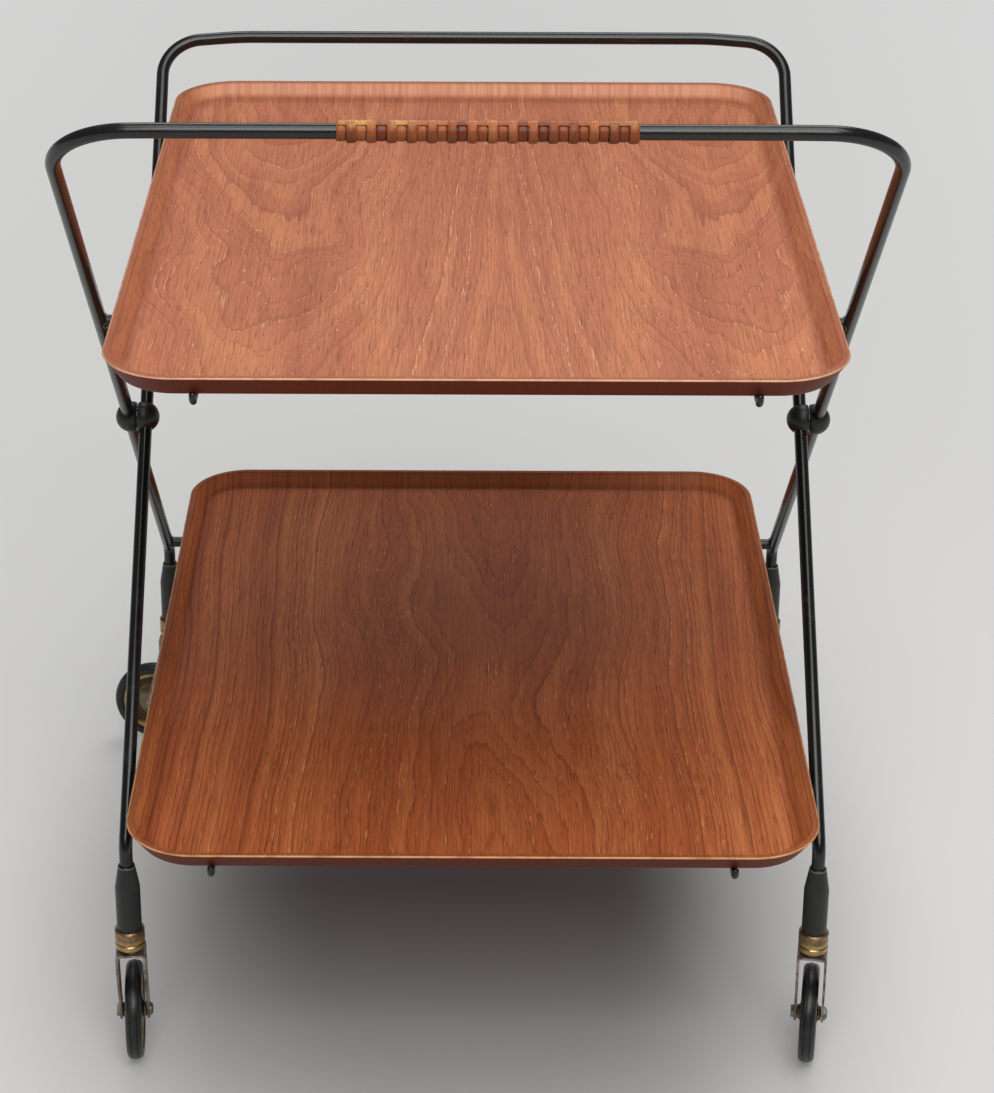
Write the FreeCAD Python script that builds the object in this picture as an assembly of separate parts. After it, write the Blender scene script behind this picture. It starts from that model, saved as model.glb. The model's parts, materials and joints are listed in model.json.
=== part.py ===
import FreeCAD, Part

# Folding serving trolley: two crossed frames of bent round bar on four casters,
# carrying two loose trays of pressed plywood. The frames fold like scissors about
# one axis at mid height, and two wire runners under each tray lie on the cross bars,
# hooked to the hoop frame's and pegged against the handle frame's.
# Millimetres, +Z up, origin on the floor under the fold axis. The push handle is
# at the front (-Y), the rear rail at +Y, and left is -X.

import math
import os
from FreeCAD import Placement, Rotation, Vector

# ---- Driving dimensions -------------------------------------------------------------

# fits
RUNNING_FIT = 0.05            # radial clearance of a shaft that turns in its hole
SEAT_GAP = 0.3                # between pieces that rest on, or slide past, each other
SMALL_EASE = 0.6              # chamfer on a moulded sleeve's ends
EDGE_EASE = 0.8               # chamfer on turned pins and spigots
COLLAR_EASE = 1.2             # chamfer on a collar's outer edges

# trays
TRAY_WIDTH = 494.0            # over the rim, left to right
TRAY_DEPTH = 630.0            # over the rim, front to back
TRAY_HEIGHT = 17.5            # underside to rim
TRAY_CORNER = 50.0            # rim radius in plan
PLY = 4.5                     # thickness of the pressed veneer
WALL_SLOPE = 54.0             # degrees that the wall rises from the floor's plane
WALL_BEND = 7.0               # inner radius between floor and wall
LIP_EASE = 0.8                # small chamfer on both edges of the rim
UPPER_TRAY_Y = -30.0          # centre of each tray in front of or behind the fold axis
LOWER_TRAY_Y = -28.0

# frames
BAR_RADIUS = 5.0
CROSS_BAR_RADIUS = 4.5        # thinner than the frames' bar, which its ends are coped round
PIVOT_HEIGHT = 430.0
HANDLE_LEAN = 45.5            # degrees from upright, handle frame leans to the front
HOOP_LEAN = 46.5              # degrees from upright, hoop frame leans to the back
HANDLE_TOP = 787.0            # height of the grip bar's centre
RAIL_TOP = 663.0              # height of the rear rail's centre
RAIL_RISE = 94.0              # rear rail's centre above that of the upper cross bars
UPPER_BAR = RAIL_TOP - RAIL_RISE     # height of the cross bars that carry the upper tray
LOWER_BAR = 205.0             # height of the cross bars that carry the lower tray
KNEE_HEIGHT = 195.0           # where a leaning bar's centre line meets that of its leg
CORNER_BEND = 65.0            # centre-line radius of the four top corners
KNEE_BEND = 20.0              # centre-line radius where a leaning bar turns down into a leg
TRAY_SIDE_GAP = 3.0           # tray rim to hoop bar
FRAME_GAP = 3.0               # hoop bar to handle bar, where they pass at the pivot

# pivots
BALL_RADIUS = 12.0
BALL_OFFSET = 5.0             # centre of each half ball from the plane between the frames
WASHER_THICKNESS = 1.0
WASHER_RADIUS = 8.0
SCREW_RADIUS = 2.5
SCREW_HEAD_RADIUS = 5.0
SCREW_HEAD_HEIGHT = 2.6
SCREW_SLOT_WIDTH = 1.2
SCREW_SLOT_DEPTH = 1.3
SCREW_END = 1.0               # screw beyond its nut
BALL_FLAT = 1.2               # how far a ball's pole is faced off for the screw head or nut
PIVOT_NUT_FLATS = 8.0
PIVOT_NUT_HEIGHT = 4.0

# wound grip on the handle
WRAP_LENGTH = 186.0
WRAP_SHIFT = 5.4              # centre of the winding to the right of the middle
WRAP_TURNS = 15
WRAP_VALLEY = 1.5             # thickness between turns
WRAP_CREST = 2.5              # thickness over a turn

# wire runners under the trays
WIRE_RADIUS = 2.5
HOOK_WIRE_RADIUS = 2.1        # wire of the hooks and pegs welded under a runner
RUNNER_SPREAD = 0.745         # distance between two runners as a share of the tray's width
RUNNER_BEND = 6.0
RUNNER_STEP = 16.4            # how far a runner's ends stand above its middle
RUNNER_LAP = 15.0             # length of a runner's middle beyond each cross bar
TIP_RISE = 6.0                # how far the turned-up ends stand above a tray's underside
HOOK_SWEEP = 100.0            # degrees that a hinge hook turns under the hoop frame's cross bar
PEG_DROP = 2.0                # stop peg's straight part below the handle frame's cross bar's centre

# leg ends
SLEEVE_RADIUS = 9.3
SLEEVE_NECK_RADIUS = 6.3
SLEEVE_LENGTH = 55.0
SLEEVE_CONE = 19.0
COLLAR_RADIUS = 11.1
COLLAR_HEIGHT = 16.9
COLLAR_GROOVE = 0.8
SPIGOT_RADIUS = 6.2
SPIGOT_LENGTH = 20.0
LEG_END_GAP = 3.0             # spigot to the end of the bar, inside the sleeve
SOCKET_GAP = 0.5              # spigot to the end of its socket in the sleeve

# casters
WHEEL_RADIUS = 37.5
TYRE_WIDTH = 12.4
TYRE_SEAT_RADIUS = 27.5
TYRE_SEAT_WIDTH = 9.6
TREAD_GROOVE = 0.7
TREAD_GROOVE_X = 2.4
TREAD_CREST_X = 0.9           # half the flat in the middle of the tread
TRAIL = 18.0                  # axle behind the swivel axis
FORK_TOP = 106.0              # top face of the crown above the floor
FORK_THICKNESS = 1.8
FORK_OUTER_WIDTH = 22.4
FORK_BEND = 3.6               # outer radius between crown and arms
CROWN_HALF_LENGTH = 11.0
CROWN_SKIRT = 13.0            # straight part of the arms under the crown
ARM_END_RADIUS = 7.0
STEM_RADIUS = 4.0
STEM_WASHER_RADIUS = 8.5
STEM_WASHER_THICKNESS = 1.5
STEM_HEAD_RADIUS = 6.5
STEM_HEAD_HEIGHT = 2.4
STEM_TOP_GAP = 2.0            # end of the stem below the spigot's top
AXLE_RADIUS = 3.0
AXLE_HEAD_RADIUS = 5.0
AXLE_HEAD_HEIGHT = 2.6
AXLE_NUT_FLATS = 9.0
HUB_BOSS_RADIUS = 5.5
HUB_CONE_RADIUS = 13.0
HUB_CONE_HALF_WIDTH = 5.9
HUB_DISH_RADIUS = 15.5
HUB_DISH_HALF_WIDTH = 2.9
HUB_RIM_WALL = 2.0

# how each caster stands at rest: degrees of swivel, where 0 trails straight back
CASTER_TURN = {
    "front_left": 4.0,
    "front_right": -9.0,
    "rear_left": 84.0,
    "rear_right": 6.0,
}

# ---- Derived places -----------------------------------------------------------------

HOOP_X = TRAY_WIDTH / 2 + TRAY_SIDE_GAP + BAR_RADIUS
HANDLE_X = HOOP_X + 2 * BAR_RADIUS + FRAME_GAP
PIVOT_PLANE_X = (HOOP_X + HANDLE_X) / 2
BALL_FACE = WASHER_THICKNESS / 2 + SEAT_GAP

# each frame: half width, lean, the side that its top leans to, height of its top bar
HANDLE = {"x": HANDLE_X, "lean": math.radians(HANDLE_LEAN), "side": -1, "top": HANDLE_TOP}
HOOP = {"x": HOOP_X, "lean": math.radians(HOOP_LEAN), "side": 1, "top": RAIL_TOP}

RUNNER_X = RUNNER_SPREAD * TRAY_WIDTH / 2
WIRE_RISE = CROSS_BAR_RADIUS + SEAT_GAP + WIRE_RADIUS    # cross bar's centre to wire's centre
TRAY_RISE = WIRE_RISE + RUNNER_STEP + WIRE_RADIUS + SEAT_GAP     # cross bar's centre to tray's underside
HOOK_REACH = CROSS_BAR_RADIUS + SEAT_GAP + HOOK_WIRE_RADIUS      # cross bar's centre to hook's centre

COLLAR_BOTTOM = FORK_TOP + STEM_WASHER_THICKNESS + SEAT_GAP
SLEEVE_BOTTOM = COLLAR_BOTTOM + COLLAR_HEIGHT
SPIGOT_TOP = SLEEVE_BOTTOM + SPIGOT_LENGTH
LEG_END = SPIGOT_TOP + LEG_END_GAP
STEM_TOP = SPIGOT_TOP - STEM_TOP_GAP
FORK_INNER_WIDTH = FORK_OUTER_WIDTH - 2 * FORK_THICKNESS
HUB_HALF_LENGTH = FORK_INNER_WIDTH / 2 - SEAT_GAP

X_AXIS = Vector(1, 0, 0)
Y_AXIS = Vector(0, 1, 0)
Z_AXIS = Vector(0, 0, 1)

# ---- Small helpers ------------------------------------------------------------------


def fused(solids):
    """One solid from several that overlap or share faces."""
    return solids[0].multiFuse(solids[1:]).removeSplitter().Solids[0]


def rod(start, end, radius):
    """Straight round bar between two points."""
    run = end - start
    return Part.makeCylinder(radius, run.Length, start, run)


def bent_rod(points, bends, radius):
    """Round bar on straight runs, with a tangent bend at each inner point."""
    pieces = []
    start = points[0]
    for before, corner, after, bend in zip(points, points[1:], points[2:], bends):
        incoming = Vector(corner - before).normalize()
        outgoing = Vector(after - corner).normalize()
        turn = incoming.getAngle(outgoing)
        setback = bend * math.tan(turn / 2)
        bend_start = corner - incoming * setback
        inward = Vector(outgoing - incoming).normalize()
        centre = corner + inward * (bend / math.cos(turn / 2))
        pieces.append(rod(start, bend_start, radius))
        section = Part.Face(Part.Wire(Part.makeCircle(radius, bend_start, incoming)))
        pieces.append(section.revolve(centre, incoming.cross(outgoing), math.degrees(turn)))
        start = corner + outgoing * setback
    pieces.append(rod(start, points[-1], radius))
    return fused(pieces)


def turned(outline, about=Z_AXIS):
    """Solid turned about an axis through the origin, from (radius, height) points."""
    corners = [Vector(radius, 0, height) for radius, height in outline]
    face = Part.Face(Part.makePolygon(corners + corners[:1]))
    solid = face.revolve(Vector(0, 0, 0), Z_AXIS, 360)
    if about is X_AXIS:
        solid.rotate(Vector(0, 0, 0), Y_AXIS, 90)
    return solid


def hexagon_nut(flats, height, bore, start, direction):
    """Hexagon nut whose first face lies at start."""
    corner_radius = flats / 2 / math.cos(math.radians(30))
    corners = [
        Vector(corner_radius * math.cos(math.radians(60 * i)), corner_radius * math.sin(math.radians(60 * i)), 0)
        for i in range(7)
    ]
    nut = Part.Face(Part.makePolygon(corners)).extrude(Vector(0, 0, height))
    crown = Part.makeCone(corner_radius + height, flats / 2, height, Vector(0, 0, 0), Z_AXIS)
    nut = nut.common(crown).cut(Part.makeCylinder(bore, height))
    nut.Placement = Placement(start, Rotation(Z_AXIS, direction))
    return nut


# ---- Frames -------------------------------------------------------------------------


def leaning_y(frame, height):
    """Where a frame's leaning bar passes a height."""
    return frame["side"] * (height - PIVOT_HEIGHT) * math.tan(frame["lean"])


def leg_y(frame):
    return leaning_y(frame, KNEE_HEIGHT)


def pivot_hole(radius):
    """Round hole along the fold axis, right through both sides."""
    reach = HANDLE_X + 2 * BALL_RADIUS
    return Part.makeCylinder(radius, 2 * reach, Vector(-reach, 0, PIVOT_HEIGHT), X_AXIS)


def bent_frame(frame):
    """One bar: up a leg, along the lean, across the top and down the other side."""
    x = frame["x"]
    top_y = leaning_y(frame, frame["top"])
    side = [(leg_y(frame), LEG_END), (leg_y(frame), KNEE_HEIGHT), (top_y, frame["top"])]
    points = [Vector(-x, y, z) for y, z in side] + [Vector(x, y, z) for y, z in reversed(side)]
    bar = bent_rod(points, [KNEE_BEND, CORNER_BEND, CORNER_BEND, KNEE_BEND], BAR_RADIUS)
    return bar.cut(pivot_hole(SCREW_RADIUS + RUNNING_FIT)).Solids[0]


def cross_bar(frame, bar, y, z):
    """Bar welded between the sides of a frame, its ends coped to fit round them."""
    blank = rod(Vector(-frame["x"], y, z), Vector(frame["x"], y, z), CROSS_BAR_RADIUS)
    return max(blank.cut(bar).Solids, key=lambda solid: solid.Volume)


def grip_winding():
    """Cane wound round the handle bar, one ridge for each turn."""
    pitch = WRAP_LENGTH / WRAP_TURNS
    inner = BAR_RADIUS + RUNNING_FIT
    valley = BAR_RADIUS + WRAP_VALLEY
    crest = BAR_RADIUS + WRAP_CREST
    outline = [(inner, 0), (valley, 0)]
    for turn in range(WRAP_TURNS):
        start = turn * pitch
        outline += [(crest, start + 0.15 * pitch), (crest, start + 0.85 * pitch), (valley, start + pitch)]
    outline.append((inner, WRAP_LENGTH))
    winding = turned(outline, X_AXIS)
    winding.translate(Vector(WRAP_SHIFT - WRAP_LENGTH / 2, leaning_y(HANDLE, HANDLE_TOP), HANDLE_TOP))
    return winding


# ---- Pivots -------------------------------------------------------------------------


def pivot_ball(frame, hand, inner):
    """Half ball that a frame's bar runs through, faced off at the washer and at its pole."""
    outward = -hand if inner else hand
    centre_x = hand * PIVOT_PLANE_X + outward * BALL_OFFSET
    ball = Part.makeSphere(BALL_RADIUS, Vector(centre_x, 0, PIVOT_HEIGHT))
    face_x = hand * PIVOT_PLANE_X + outward * BALL_FACE
    pole_x = centre_x + outward * (BALL_RADIUS - BALL_FLAT)
    keep = Part.makeBox(abs(pole_x - face_x), 4 * BALL_RADIUS, 4 * BALL_RADIUS)
    keep.translate(Vector(min(face_x, pole_x), -2 * BALL_RADIUS, PIVOT_HEIGHT - 2 * BALL_RADIUS))
    along = Vector(0, frame["side"] * math.sin(frame["lean"]), math.cos(frame["lean"]))
    middle = Vector(hand * frame["x"], 0, PIVOT_HEIGHT)
    bar = rod(middle - along * (2 * BALL_RADIUS), middle + along * (2 * BALL_RADIUS), BAR_RADIUS)
    return ball.common(keep).cut(bar).cut(pivot_hole(SCREW_RADIUS + RUNNING_FIT)).Solids[0]


def pole_x(inner):
    """Distance from the middle of the trolley to a ball's faced-off pole."""
    reach = BALL_OFFSET + BALL_RADIUS - BALL_FLAT
    return PIVOT_PLANE_X - reach if inner else PIVOT_PLANE_X + reach


def pivot_screw(hand):
    """Round-headed screw through both balls and bars, its head outside."""
    seat = pole_x(False) + SEAT_GAP
    end = pole_x(True) - PIVOT_NUT_HEIGHT - SCREW_END
    rim = SCREW_HEAD_RADIUS
    head = [(0, seat), (rim, seat), (rim, seat + 0.3 * SCREW_HEAD_HEIGHT),
            (0.75 * rim, seat + 0.8 * SCREW_HEAD_HEIGHT), (0.4 * rim, seat + SCREW_HEAD_HEIGHT),
            (0, seat + SCREW_HEAD_HEIGHT)]
    shank = [(0, end), (SCREW_RADIUS - 0.5, end), (SCREW_RADIUS, end + 0.5), (SCREW_RADIUS, seat)]
    screw = turned(shank + head[1:], X_AXIS)
    slot = Part.makeBox(2 * SCREW_SLOT_DEPTH, SCREW_SLOT_WIDTH, 4 * rim,
                        Vector(seat + SCREW_HEAD_HEIGHT - SCREW_SLOT_DEPTH, -SCREW_SLOT_WIDTH / 2, -2 * rim))
    screw = screw.cut(slot)
    if hand < 0:
        screw.rotate(Vector(0, 0, 0), Z_AXIS, 180)
    screw.translate(Vector(0, 0, PIVOT_HEIGHT))
    return screw


def pivot_nuts():
    """The nut on the inner end of each pivot screw."""
    nuts = []
    for hand in (-1, 1):
        start = Vector(hand * pole_x(True), 0, PIVOT_HEIGHT)
        nuts.append(hexagon_nut(PIVOT_NUT_FLATS, PIVOT_NUT_HEIGHT, SCREW_RADIUS + RUNNING_FIT, start, X_AXIS * -hand))
    return Part.makeCompound(nuts)


def pivot_washers():
    """The washer that keeps each pair of half balls apart."""
    ring = [(SCREW_RADIUS + RUNNING_FIT, -WASHER_THICKNESS / 2), (WASHER_RADIUS, -WASHER_THICKNESS / 2),
            (WASHER_RADIUS, WASHER_THICKNESS / 2), (SCREW_RADIUS + RUNNING_FIT, WASHER_THICKNESS / 2)]
    washers = []
    for hand in (-1, 1):
        washer = turned(ring, X_AXIS)
        washer.translate(Vector(hand * PIVOT_PLANE_X, 0, PIVOT_HEIGHT))
        washers.append(washer)
    return Part.makeCompound(washers)


# ---- Trays and runners --------------------------------------------------------------

WALL_ANGLE = math.radians(WALL_SLOPE)
OUTER_BEND = WALL_BEND + PLY
# distances outward from a rim corner's centre
STRAIGHT_FROM = OUTER_BEND * (1 - math.cos(WALL_ANGLE))      # height where the wall's bend ends
WALL_START = TRAY_CORNER - (TRAY_HEIGHT - LIP_EASE - STRAIGHT_FROM) / math.tan(WALL_ANGLE)
WALL_FOOT = WALL_START - OUTER_BEND * math.sin(WALL_ANGLE)


def wall_outside(height):
    """How far out a tray wall's outer face is at a height above the underside."""
    if height > STRAIGHT_FROM:
        return WALL_START + (height - STRAIGHT_FROM) / math.tan(WALL_ANGLE)
    return WALL_FOOT + math.sqrt(OUTER_BEND ** 2 - (OUTER_BEND - height) ** 2)


def bend_arc(radius, start_angle, end_angle):
    """Arc of the tray section about the centre of the bend between floor and wall."""
    def at(angle):
        return Vector(WALL_FOOT + radius * math.sin(angle), 0, OUTER_BEND - radius * math.cos(angle))
    return Part.Arc(at(start_angle), at((start_angle + end_angle) / 2), at(end_angle)).toShape()


def tray_section():
    """Section through floor and wall, from a rim corner's centre outward."""
    slope = 1 / math.tan(WALL_ANGLE)
    inner_start = WALL_FOOT + WALL_BEND * math.sin(WALL_ANGLE)
    inner_start_z = OUTER_BEND - WALL_BEND * math.cos(WALL_ANGLE)
    ease_z = TRAY_HEIGHT - LIP_EASE
    inner_rim = inner_start + (ease_z - inner_start_z) * slope
    wall = [
        Vector(WALL_START, 0, STRAIGHT_FROM),
        Vector(TRAY_CORNER, 0, ease_z),
        Vector(TRAY_CORNER - LIP_EASE, 0, TRAY_HEIGHT),
        Vector(inner_rim + LIP_EASE, 0, TRAY_HEIGHT),
        Vector(inner_rim, 0, ease_z),
        Vector(inner_start, 0, inner_start_z),
    ]
    edges = [Part.LineSegment(Vector(0, 0, 0), Vector(WALL_FOOT, 0, 0)).toShape(), bend_arc(OUTER_BEND, 0, WALL_ANGLE)]
    edges += [Part.LineSegment(a, b).toShape() for a, b in zip(wall, wall[1:])]
    edges.append(bend_arc(WALL_BEND, WALL_ANGLE, 0))
    edges.append(Part.LineSegment(Vector(WALL_FOOT, 0, PLY), Vector(0, 0, PLY)).toShape())
    edges.append(Part.LineSegment(Vector(0, 0, PLY), Vector(0, 0, 0)).toShape())
    return Part.Face(Part.Wire(edges))


def tray(centre_y, underside):
    """Pressed tray: the section run along four sides and turned round four corners."""
    half_x = TRAY_WIDTH / 2 - TRAY_CORNER
    half_y = TRAY_DEPTH / 2 - TRAY_CORNER
    section = tray_section()
    pieces = [Part.makeBox(2 * half_x, 2 * half_y, PLY, Vector(-half_x, -half_y, 0))]
    for quarter in range(4):
        # the section faces +X, so each quarter takes the wall and the corner to its left
        run = 2 * (half_y if quarter % 2 == 0 else half_x)
        out = half_x if quarter % 2 == 0 else half_y
        wall = section.extrude(Vector(0, run, 0))
        wall.translate(Vector(out, -run / 2, 0))
        corner = section.revolve(Vector(0, 0, 0), Z_AXIS, 90)
        corner.translate(Vector(out, run / 2, 0))
        for piece in (wall, corner):
            piece.rotate(Vector(0, 0, 0), Z_AXIS, 90 * quarter)
            pieces.append(piece)
    shape = fused(pieces)
    shape.translate(Vector(0, centre_y, underside))
    return shape


def dome(centre, direction, radius):
    """Half ball on the end of a round bar."""
    return Part.makeSphere(radius, centre, direction, 0, 90, 360)


def runner(tray_y, bar_ys, bar_z):
    """Wire that lies on two cross bars, steps up beyond them to the tray and turns up at both ends."""
    low_z = bar_z + WIRE_RISE
    high_z = low_z + RUNNER_STEP
    tip_z = bar_z + TRAY_RISE + TIP_RISE - WIRE_RADIUS
    overhang = TRAY_CORNER - wall_outside(TIP_RISE)
    reach = TRAY_DEPTH / 2 - overhang + SEAT_GAP + WIRE_RADIUS
    front, back = tray_y - reach, tray_y + reach
    low_front = max(min(bar_ys) - RUNNER_LAP, front + 2 * RUNNER_BEND + RUNNER_STEP)
    low_back = min(max(bar_ys) + RUNNER_LAP, back - 2 * RUNNER_BEND - RUNNER_STEP)
    path = [(front, tip_z), (front, high_z), (low_front - RUNNER_STEP, high_z), (low_front, low_z),
            (low_back, low_z), (low_back + RUNNER_STEP, high_z), (back, high_z), (back, tip_z)]
    points = [Vector(0, y, z) for y, z in path]
    pieces = [bent_rod(points, [RUNNER_BEND] * 6, WIRE_RADIUS)]
    pieces += [dome(end, Z_AXIS, WIRE_RADIUS) for end in (points[0], points[-1])]
    return fused(pieces)


def hinge_hook(bar_y, bar_z, side):
    """Thinner wire down a cross bar's outer side and round under it."""
    centre = Vector(0, bar_y, bar_z)
    beside = Vector(0, side * HOOK_REACH, 0)
    section = Part.Face(Part.Wire(Part.makeCircle(HOOK_WIRE_RADIUS, centre + beside, Z_AXIS)))
    turn = Rotation(X_AXIS, -side * HOOK_SWEEP)
    return fused([
        rod(centre + beside + Vector(0, 0, WIRE_RISE), centre + beside, HOOK_WIRE_RADIUS),
        section.revolve(centre, X_AXIS * -side, HOOK_SWEEP),
        dome(centre + turn.multVec(beside), turn.multVec(Z_AXIS * -1), HOOK_WIRE_RADIUS),
    ])


def stop_peg(bar_y, bar_z, side):
    """Thinner wire straight down a cross bar's outer side, which stops the bar."""
    top = Vector(0, bar_y + side * HOOK_REACH, bar_z + WIRE_RISE)
    end = Vector(0, top.y, bar_z - PEG_DROP)
    return fused([rod(top, end, HOOK_WIRE_RADIUS), dome(end, Z_AXIS * -1, HOOK_WIRE_RADIUS)])


def tray_carrier(tray_y, hinge_bar_y, stop_bar_y, bar_z):
    """A tray's two runners, and the hooks and pegs welded under them."""
    side = math.copysign(1, hinge_bar_y - stop_bar_y)
    wire = runner(tray_y, (hinge_bar_y, stop_bar_y), bar_z)
    places = [Vector(-RUNNER_X, 0, 0), Vector(RUNNER_X, 0, 0)]

    def under_both(piece):
        below = max(piece.cut(wire).Solids, key=lambda solid: solid.Volume)
        return Part.makeCompound([below.translated(place) for place in places])

    return {
        "runner_left": wire.translated(places[0]),
        "runner_right": wire.translated(places[1]),
        "hinge_hooks": under_both(hinge_hook(hinge_bar_y, bar_z, side)),
        "stop_pegs": under_both(stop_peg(stop_bar_y, bar_z, -side)),
    }


# ---- Leg ends and casters -----------------------------------------------------------


def leg_sleeve():
    """Moulded sleeve that joins a leg's bar to the caster's collar."""
    top = SLEEVE_BOTTOM + SLEEVE_LENGTH
    cone_start = top - SLEEVE_CONE
    bore = BAR_RADIUS + RUNNING_FIT
    socket = SPIGOT_RADIUS + RUNNING_FIT
    return turned([
        (socket, SLEEVE_BOTTOM), (SLEEVE_RADIUS - SMALL_EASE, SLEEVE_BOTTOM), (SLEEVE_RADIUS, SLEEVE_BOTTOM + SMALL_EASE),
        (SLEEVE_RADIUS, cone_start), (SLEEVE_NECK_RADIUS, top - EDGE_EASE), (SLEEVE_NECK_RADIUS - SMALL_EASE, top),
        (bore, top), (bore, SPIGOT_TOP + SOCKET_GAP), (socket, SPIGOT_TOP + SOCKET_GAP),
    ])


def stem_collar():
    """Brass socket: a grooved collar below the sleeve and a spigot inside it."""
    bore = STEM_RADIUS + RUNNING_FIT
    groove_z = COLLAR_BOTTOM + 0.28 * COLLAR_HEIGHT
    edge = COLLAR_EASE
    return turned([
        (bore, COLLAR_BOTTOM), (COLLAR_RADIUS - edge, COLLAR_BOTTOM), (COLLAR_RADIUS, COLLAR_BOTTOM + edge),
        (COLLAR_RADIUS, groove_z), (COLLAR_RADIUS - COLLAR_GROOVE, groove_z + COLLAR_GROOVE),
        (COLLAR_RADIUS, groove_z + 2 * COLLAR_GROOVE), (COLLAR_RADIUS, SLEEVE_BOTTOM - edge),
        (COLLAR_RADIUS - edge, SLEEVE_BOTTOM), (SPIGOT_RADIUS, SLEEVE_BOTTOM),
        (SPIGOT_RADIUS, SPIGOT_TOP - EDGE_EASE), (SPIGOT_RADIUS - EDGE_EASE, SPIGOT_TOP), (bore, SPIGOT_TOP),
    ])


def caster_stem():
    """Swivel pin with its thrust washer, riveted over under the crown."""
    crown_under = FORK_TOP - FORK_THICKNESS
    return turned([
        (0, crown_under - STEM_HEAD_HEIGHT), (0.55 * STEM_HEAD_RADIUS, crown_under - STEM_HEAD_HEIGHT),
        (STEM_HEAD_RADIUS, crown_under - 0.3 * STEM_HEAD_HEIGHT), (STEM_HEAD_RADIUS, crown_under),
        (STEM_RADIUS, crown_under), (STEM_RADIUS, FORK_TOP), (STEM_WASHER_RADIUS, FORK_TOP),
        (STEM_WASHER_RADIUS, FORK_TOP + STEM_WASHER_THICKNESS),
        (STEM_RADIUS, FORK_TOP + STEM_WASHER_THICKNESS), (STEM_RADIUS, STEM_TOP - EDGE_EASE),
        (STEM_RADIUS - EDGE_EASE, STEM_TOP), (0, STEM_TOP),
    ])


def tangent_point(point, centre, radius, side):
    """Where a line from a point in the YZ plane touches a circle, on one side of it."""
    away = Vector(point - centre)
    angle = math.atan2(away.z, away.y) + side * math.acos(radius / away.Length)
    return centre + Vector(0, math.cos(angle), math.sin(angle)) * radius


def caster_fork():
    """Pressed fork: an inverted U of sheet whose arms sweep back to the axle."""
    axle = Vector(0, TRAIL, WHEEL_RADIUS)
    skirt_z = FORK_TOP - CROWN_SKIRT
    front = Vector(0, -CROWN_HALF_LENGTH, skirt_z)
    back = Vector(0, CROWN_HALF_LENGTH, skirt_z)
    front_touch = tangent_point(front, axle, ARM_END_RADIUS, 1)
    back_touch = tangent_point(back, axle, ARM_END_RADIUS, -1)
    low = axle + Vector(0, 0.35, -1).normalize() * ARM_END_RADIUS
    outline = [
        Part.makePolygon([back_touch, back, Vector(0, CROWN_HALF_LENGTH, FORK_TOP),
                          Vector(0, -CROWN_HALF_LENGTH, FORK_TOP), front, front_touch]),
        Part.Wire(Part.Arc(front_touch, low, back_touch).toShape()),
    ]
    blank = Part.Face(Part.Wire([edge for wire in outline for edge in wire.Edges]))
    blank = blank.extrude(Vector(FORK_OUTER_WIDTH, 0, 0))
    blank.translate(Vector(-FORK_OUTER_WIDTH / 2, 0, 0))

    def channel(half_width, top, bend):
        """Prism along Y with a flat top and rounded shoulders."""
        low_z = -1.0
        corner = 1 - math.sqrt(0.5)
        left_low, right_low = Vector(-half_width, 0, low_z), Vector(half_width, 0, low_z)
        left, right = Vector(-half_width, 0, top - bend), Vector(half_width, 0, top - bend)
        left_top, right_top = Vector(-half_width + bend, 0, top), Vector(half_width - bend, 0, top)
        left_mid = Vector(-half_width + corner * bend, 0, top - corner * bend)
        right_mid = Vector(half_width - corner * bend, 0, top - corner * bend)
        edges = [
            Part.LineSegment(left_low, left).toShape(), Part.Arc(left, left_mid, left_top).toShape(),
            Part.LineSegment(left_top, right_top).toShape(), Part.Arc(right_top, right_mid, right).toShape(),
            Part.LineSegment(right, right_low).toShape(), Part.LineSegment(right_low, left_low).toShape(),
        ]
        length = 4 * (TRAIL + CROWN_HALF_LENGTH)
        prism = Part.Face(Part.Wire(edges)).extrude(Vector(0, length, 0))
        prism.translate(Vector(0, -length / 2, 0))
        return prism

    fork = blank.common(channel(FORK_OUTER_WIDTH / 2, FORK_TOP, FORK_BEND))
    fork = fork.cut(channel(FORK_INNER_WIDTH / 2, FORK_TOP - FORK_THICKNESS, FORK_BEND - FORK_THICKNESS))
    fork = fork.cut(Part.makeCylinder(STEM_RADIUS + RUNNING_FIT, 2 * FORK_THICKNESS,
                                      Vector(0, 0, FORK_TOP - 1.5 * FORK_THICKNESS)))
    axle_hole = Part.makeCylinder(AXLE_RADIUS + RUNNING_FIT, 2 * FORK_OUTER_WIDTH,
                                  axle - X_AXIS * FORK_OUTER_WIDTH, X_AXIS)
    return fork.cut(axle_hole).Solids[0]


def axle_bolt():
    """Bolt through the fork's arms, its domed head on the right."""
    seat = FORK_OUTER_WIDTH / 2
    end = -seat - AXLE_HEAD_HEIGHT
    rim = AXLE_HEAD_RADIUS
    bolt = turned([
        (0, end), (AXLE_RADIUS - 0.5, end), (AXLE_RADIUS, end + 0.5), (AXLE_RADIUS, seat), (rim, seat),
        (rim, seat + 0.45 * AXLE_HEAD_HEIGHT), (0.6 * rim, seat + AXLE_HEAD_HEIGHT), (0, seat + AXLE_HEAD_HEIGHT),
    ], X_AXIS)
    bolt.translate(Vector(0, TRAIL, WHEEL_RADIUS))
    return bolt


def axle_nut():
    start = Vector(-FORK_OUTER_WIDTH / 2, TRAIL, WHEEL_RADIUS)
    return hexagon_nut(AXLE_NUT_FLATS, AXLE_HEAD_HEIGHT, AXLE_RADIUS + RUNNING_FIT, start, X_AXIS * -1)


def mirrored_section(half):
    """Closed section from its right half, listed from the inside out."""
    return half + [(radius, -x) for radius, x in reversed(half)]


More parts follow.
